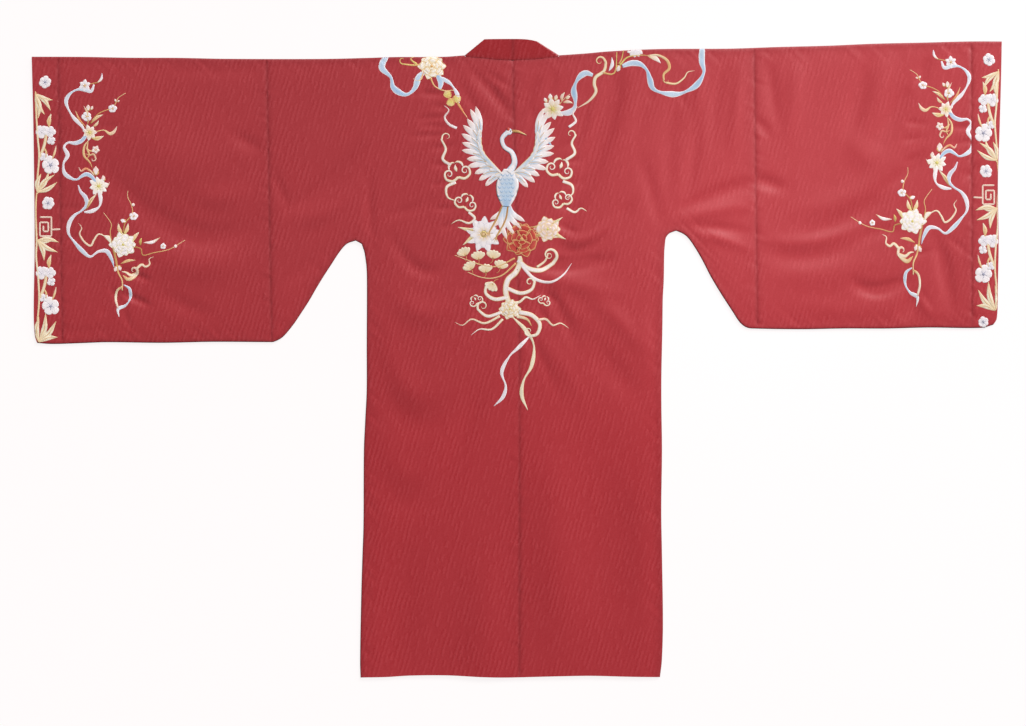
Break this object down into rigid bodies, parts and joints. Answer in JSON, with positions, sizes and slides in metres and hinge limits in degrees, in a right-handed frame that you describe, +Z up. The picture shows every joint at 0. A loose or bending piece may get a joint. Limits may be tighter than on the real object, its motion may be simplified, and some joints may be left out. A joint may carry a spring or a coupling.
{
  "type": "hanfu robe",
  "caption": "Wide-sleeved robe with a straight band collar, open front and curved underarms, laid flat back upwards.",
  "frame": {"origin": "on the surface the robe lies on, under the middle of its bounding box", "axes": "+X across the sleeves towards the wearer's right cuff, +Y from the hem towards the collar, +Z up out of the back of the robe"},
  "size_m": [1.94, 1.277, 0.0089],
  "materials": {
    "red_silk": "red satin with a woven tone-on-tone pattern, soft sheen",
    "embroidery_silk": "raised satin stitch in white, pale blue, gold and red silk, laid on the red silk when the robe is dressed"
  },
  "bodies": {
    "root": {"body_left": "red_silk", "body_right": "red_silk", "sleeve_left": "red_silk", "sleeve_right": "red_silk", "cuff_left": "red_silk", "cuff_right": "red_silk", "collar_left": "red_silk", "collar_right": "red_silk"}
  },
  "joints": []
}
